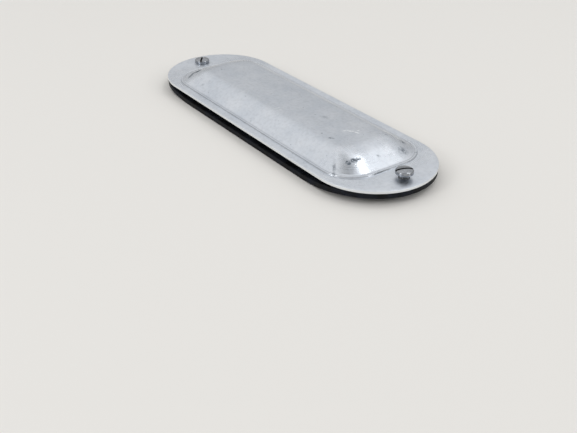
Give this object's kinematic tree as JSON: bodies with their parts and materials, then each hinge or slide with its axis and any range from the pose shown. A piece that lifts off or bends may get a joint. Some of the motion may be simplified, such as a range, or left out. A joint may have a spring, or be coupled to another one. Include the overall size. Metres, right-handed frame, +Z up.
{
  "type": "conduit body cover",
  "caption": "Domed sheet aluminium cover for a conduit body, with a rubber gasket under its flange and slotted screws at its ends, set down with the screws still loose in it.",
  "frame": {"origin": "centre of the cover's outline, on the plane that the sagging gasket strips lie on", "axes": "+X along the cover toward the raised screw, +Z up out of the dome, +Y across"},
  "size_m": [0.2414, 0.0762, 0.0178],
  "materials": {
    "cover": "mill, dull, lightly scuffed",
    "gasket": "satin black neoprene",
    "screws": "polished, bright"
  },
  "bodies": {
    "cover": {"cover": "cover", "gasket": "gasket"},
    "near_screw": {"near_screw": "screws"},
    "far_screw": {"far_screw": "screws"}
  },
  "joints": [
    {"name": "near_screw_slide", "type": "slide", "parent": "cover", "child": "near_screw", "axis": [0, 0, 1], "range_m": [-0.0026, 0.003]},
    {"name": "far_screw_slide", "type": "slide", "parent": "cover", "child": "far_screw", "axis": [0, 0, 1], "range_m": [0, 0.0056]}
  ]
}
